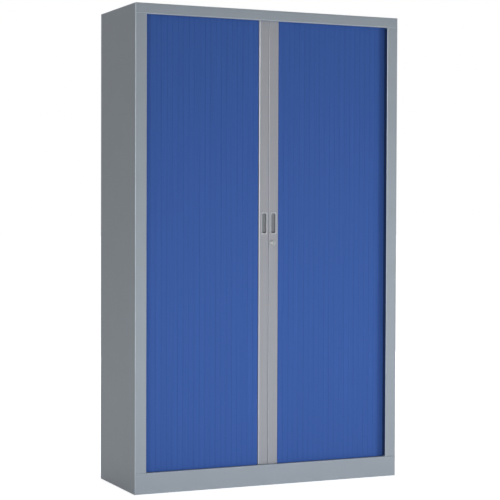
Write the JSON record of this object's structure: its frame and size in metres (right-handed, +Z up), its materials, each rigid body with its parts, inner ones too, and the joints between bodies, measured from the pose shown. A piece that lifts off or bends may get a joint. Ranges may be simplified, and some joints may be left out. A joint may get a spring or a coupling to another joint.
{
  "type": "tambour door cabinet",
  "caption": "free-standing sheet-steel cupboard with side-opening tambour curtains, full-height handle profiles, a hook lock, hung shelves and levelling feet",
  "frame": {"origin": "on the floor, under the middle of the carcass", "axes": "+X to the right as seen from the front, +Y to the back, +Z up"},
  "size_m": [1.2, 0.43, 1.98],
  "materials": {
    "painted_steel": "satin aluminium-grey powder coat",
    "galvanised_steel": "zinc plated",
    "track_plastic": "moulded, dark grey",
    "slat_plastic": "extruded, satin blue",
    "anodised_aluminium": "satin anodised extrusion",
    "grey_plastic": "moulded, grey",
    "nickel_plate": "nickel plated"
  },
  "bodies": {
    "carcass": {"left_side_panel": "painted_steel", "right_side_panel": "painted_steel", "header_rail": "painted_steel", "plinth": "painted_steel", "top_cover": "painted_steel", "back_panel": "painted_steel", "bottom_panel": "painted_steel", "ceiling_panel": "painted_steel", "left_inner_liner": "painted_steel", "right_inner_liner": "painted_steel", "shelf_1": "painted_steel", "shelf_2": "painted_steel", "shelf_3": "painted_steel", "shelf_4": "painted_steel", "left_base_channel": "galvanised_steel", "right_base_channel": "galvanised_steel", "bottom_front_track": "track_plastic", "top_front_track": "track_plastic", "left_bottom_return_track": "track_plastic", "right_bottom_return_track": "track_plastic", "left_top_return_track": "track_plastic", "right_top_return_track": "track_plastic"},
    "left_leading_edge": {"left_handle_profile": "anodised_aluminium", "left_grip_cup": "grey_plastic", "left_bottom_glide": "track_plastic", "left_top_glide": "track_plastic", "lock_strike": "galvanised_steel"},
    "right_leading_edge": {"right_handle_profile": "anodised_aluminium", "right_grip_cup": "grey_plastic", "right_bottom_glide": "track_plastic", "right_top_glide": "track_plastic", "lock_housing": "nickel_plate"},
    "lock_barrel": {"lock_plug": "nickel_plate", "lock_hook": "galvanised_steel"},
    "front_left_foot_screw": {"front_left_foot": "galvanised_steel"},
    "front_right_foot_screw": {"front_right_foot": "galvanised_steel"},
    "rear_left_foot_screw": {"rear_left_foot": "galvanised_steel"},
    "rear_right_foot_screw": {"rear_right_foot": "galvanised_steel"},
    "left_slats_01": {"left_curtain_strip_01": "slat_plastic"},
    "left_slats_02": {"left_curtain_strip_02": "slat_plastic"},
    "left_slats_03": {"left_curtain_strip_03": "slat_plastic"},
    "left_slats_04": {"left_curtain_strip_04": "slat_plastic"},
    "left_slats_05": {"left_curtain_strip_05": "slat_plastic"},
    "left_slats_06": {"left_curtain_strip_06": "slat_plastic"},
    "left_slats_07": {"left_curtain_strip_07": "slat_plastic"},
    "left_slats_08": {"left_curtain_strip_08": "slat_plastic"},
    "left_slats_09": {"left_curtain_strip_09": "slat_plastic"},
    "left_slats_10": {"left_curtain_strip_10": "slat_plastic"},
    "left_slats_11": {"left_curtain_strip_11": "slat_plastic"},
    "right_slats_01": {"right_curtain_strip_01": "slat_plastic"},
    "right_slats_02": {"right_curtain_strip_02": "slat_plastic"},
    "right_slats_03": {"right_curtain_strip_03": "slat_plastic"},
    "right_slats_04": {"right_curtain_strip_04": "slat_plastic"},
    "right_slats_05": {"right_curtain_strip_05": "slat_plastic"},
    "right_slats_06": {"right_curtain_strip_06": "slat_plastic"},
    "right_slats_07": {"right_curtain_strip_07": "slat_plastic"},
    "right_slats_08": {"right_curtain_strip_08": "slat_plastic"},
    "right_slats_09": {"right_curtain_strip_09": "slat_plastic"},
    "right_slats_10": {"right_curtain_strip_10": "slat_plastic"},
    "right_slats_11": {"right_curtain_strip_11": "slat_plastic"}
  },
  "joints": [
    {"name": "left_curtain_slide", "type": "slide", "parent": "carcass", "child": "left_leading_edge", "axis": [-1, 0, 0], "range_m": [0, 0.504]},
    {"name": "right_curtain_slide", "type": "slide", "parent": "carcass", "child": "right_leading_edge", "axis": [1, 0, 0], "range_m": [0, 0.504]},
    {"name": "lock_turn", "type": "hinge", "parent": "right_leading_edge", "child": "lock_barrel", "pos_m": [0.018, -0.193, 1.013], "axis": [0, 1, 0], "range_deg": [0, 90]},
    {"name": "front_left_foot_travel", "type": "slide", "parent": "carcass", "child": "front_left_foot_screw", "axis": [0, 0, -1], "range_m": [0, 0.02]},
    {"name": "front_right_foot_travel", "type": "slide", "parent": "carcass", "child": "front_right_foot_screw", "axis": [0, 0, -1], "range_m": [0, 0.02]},
    {"name": "rear_left_foot_travel", "type": "slide", "parent": "carcass", "child": "rear_left_foot_screw", "axis": [0, 0, -1], "range_m": [0, 0.02]},
    {"name": "rear_right_foot_travel", "type": "slide", "parent": "carcass", "child": "rear_right_foot_screw", "axis": [0, 0, -1], "range_m": [0, 0.02]},
    {"name": "left_slats_01_slide", "type": "slide", "parent": "carcass", "child": "left_slats_01", "axis": [-0.9997, 0.0258, 0], "range_m": [0, 0.5047], "deforming": ["left_curtain_strip_01"]},
    {"name": "left_slats_02_slide", "type": "slide", "parent": "carcass", "child": "left_slats_02", "axis": [-0.9994, 0.0357, 0], "range_m": [0, 0.4568], "deforming": ["left_curtain_strip_02"]},
    {"name": "left_slats_03_slide", "type": "slide", "parent": "carcass", "child": "left_slats_03", "axis": [-0.9989, 0.0479, 0], "range_m": [0, 0.409], "deforming": ["left_curtain_strip_03"]},
    {"name": "left_slats_04_slide", "type": "slide", "parent": "carcass", "child": "left_slats_04", "axis": [-0.998, 0.0634, 0], "range_m": [0, 0.3612], "deforming": ["left_curtain_strip_04"]},
    {"name": "left_slats_05_slide", "type": "slide", "parent": "carcass", "child": "left_slats_05", "axis": [-0.9965, 0.0836, 0], "range_m": [0, 0.3136], "deforming": ["left_curtain_strip_05"]},
    {"name": "left_slats_06_slide", "type": "slide", "parent": "carcass", "child": "left_slats_06", "axis": [-0.9938, 0.1109, 0], "range_m": [0, 0.2661], "deforming": ["left_curtain_strip_06"]},
    {"name": "left_slats_07_slide", "type": "slide", "parent": "carcass", "child": "left_slats_07", "axis": [-0.9887, 0.1499, 0], "range_m": [0, 0.219], "deforming": ["left_curtain_strip_07"]},
    {"name": "left_slats_08_slide", "type": "slide", "parent": "carcass", "child": "left_slats_08", "axis": [-0.9778, 0.2096, 0], "range_m": [0, 0.1723], "deforming": ["left_curtain_strip_08"]},
    {"name": "left_slats_09_slide", "type": "slide", "parent": "carcass", "child": "left_slats_09", "axis": [-0.9504, 0.311, 0], "range_m": [0, 0.1268], "deforming": ["left_curtain_strip_09"]},
    {"name": "left_slats_10_slide", "type": "slide", "parent": "carcass", "child": "left_slats_10", "axis": [-0.8614, 0.508, 0], "range_m": [0, 0.0842], "deforming": ["left_curtain_strip_10"]},
    {"name": "left_slats_11_slide", "type": "slide", "parent": "carcass", "child": "left_slats_11", "axis": [-0.4686, 0.8834, 0], "range_m": [0, 0.0522], "deforming": ["left_curtain_strip_11"]},
    {"name": "right_slats_01_slide", "type": "slide", "parent": "carcass", "child": "right_slats_01", "axis": [0.9997, 0.0258, 0], "range_m": [0, 0.5047], "deforming": ["right_curtain_strip_01"]},
    {"name": "right_slats_02_slide", "type": "slide", "parent": "carcass", "child": "right_slats_02", "axis": [0.9994, 0.0357, 0], "range_m": [0, 0.4568], "deforming": ["right_curtain_strip_02"]},
    {"name": "right_slats_03_slide", "type": "slide", "parent": "carcass", "child": "right_slats_03", "axis": [0.9989, 0.0479, 0], "range_m": [0, 0.409], "deforming": ["right_curtain_strip_03"]},
    {"name": "right_slats_04_slide", "type": "slide", "parent": "carcass", "child": "right_slats_04", "axis": [0.998, 0.0634, 0], "range_m": [0, 0.3612], "deforming": ["right_curtain_strip_04"]},
    {"name": "right_slats_05_slide", "type": "slide", "parent": "carcass", "child": "right_slats_05", "axis": [0.9965, 0.0836, 0], "range_m": [0, 0.3136], "deforming": ["right_curtain_strip_05"]},
    {"name": "right_slats_06_slide", "type": "slide", "parent": "carcass", "child": "right_slats_06", "axis": [0.9938, 0.1109, 0], "range_m": [0, 0.2661], "deforming": ["right_curtain_strip_06"]},
    {"name": "right_slats_07_slide", "type": "slide", "parent": "carcass", "child": "right_slats_07", "axis": [0.9887, 0.1499, 0], "range_m": [0, 0.219], "deforming": ["right_curtain_strip_07"]},
    {"name": "right_slats_08_slide", "type": "slide", "parent": "carcass", "child": "right_slats_08", "axis": [0.9778, 0.2096, 0], "range_m": [0, 0.1723], "deforming": ["right_curtain_strip_08"]},
    {"name": "right_slats_09_slide", "type": "slide", "parent": "carcass", "child": "right_slats_09", "axis": [0.9504, 0.311, 0], "range_m": [0, 0.1268], "deforming": ["right_curtain_strip_09"]},
    {"name": "right_slats_10_slide", "type": "slide", "parent": "carcass", "child": "right_slats_10", "axis": [0.8614, 0.508, 0], "range_m": [0, 0.0842], "deforming": ["right_curtain_strip_10"]},
    {"name": "right_slats_11_slide", "type": "slide", "parent": "carcass", "child": "right_slats_11", "axis": [0.4686, 0.8834, 0], "range_m": [0, 0.0522], "deforming": ["right_curtain_strip_11"]}
  ],
  "couplings": [
    {"joint": "left_slats_01_slide", "follows": "left_curtain_slide", "ratio": 1.0011},
    {"joint": "left_slats_02_slide", "follows": "left_curtain_slide", "ratio": 0.90613},
    {"joint": "left_slats_03_slide", "follows": "left_curtain_slide", "ratio": 0.81125},
    {"joint": "left_slats_04_slide", "follows": "left_curtain_slide", "ratio": 0.71652},
    {"joint": "left_slats_05_slide", "follows": "left_curtain_slide", "ratio": 0.62202},
    {"joint": "left_slats_06_slide", "follows": "left_curtain_slide", "ratio": 0.52786},
    {"joint": "left_slats_07_slide", "follows": "left_curtain_slide", "ratio": 0.43427},
    {"joint": "left_slats_08_slide", "follows": "left_curtain_slide", "ratio": 0.34172},
    {"joint": "left_slats_09_slide", "follows": "left_curtain_slide", "ratio": 0.25135},
    {"joint": "left_slats_10_slide", "follows": "left_curtain_slide", "ratio": 0.16677},
    {"joint": "left_slats_11_slide", "follows": "left_curtain_slide", "ratio": 0.10332},
    {"joint": "right_slats_01_slide", "follows": "right_curtain_slide", "ratio": 1.0011},
    {"joint": "right_slats_02_slide", "follows": "right_curtain_slide", "ratio": 0.90613},
    {"joint": "right_slats_03_slide", "follows": "right_curtain_slide", "ratio": 0.81125},
    {"joint": "right_slats_04_slide", "follows": "right_curtain_slide", "ratio": 0.71652},
    {"joint": "right_slats_05_slide", "follows": "right_curtain_slide", "ratio": 0.62202},
    {"joint": "right_slats_06_slide", "follows": "right_curtain_slide", "ratio": 0.52786},
    {"joint": "right_slats_07_slide", "follows": "right_curtain_slide", "ratio": 0.43427},
    {"joint": "right_slats_08_slide", "follows": "right_curtain_slide", "ratio": 0.34172},
    {"joint": "right_slats_09_slide", "follows": "right_curtain_slide", "ratio": 0.25135},
    {"joint": "right_slats_10_slide", "follows": "right_curtain_slide", "ratio": 0.16677},
    {"joint": "right_slats_11_slide", "follows": "right_curtain_slide", "ratio": 0.10332}
  ]
}
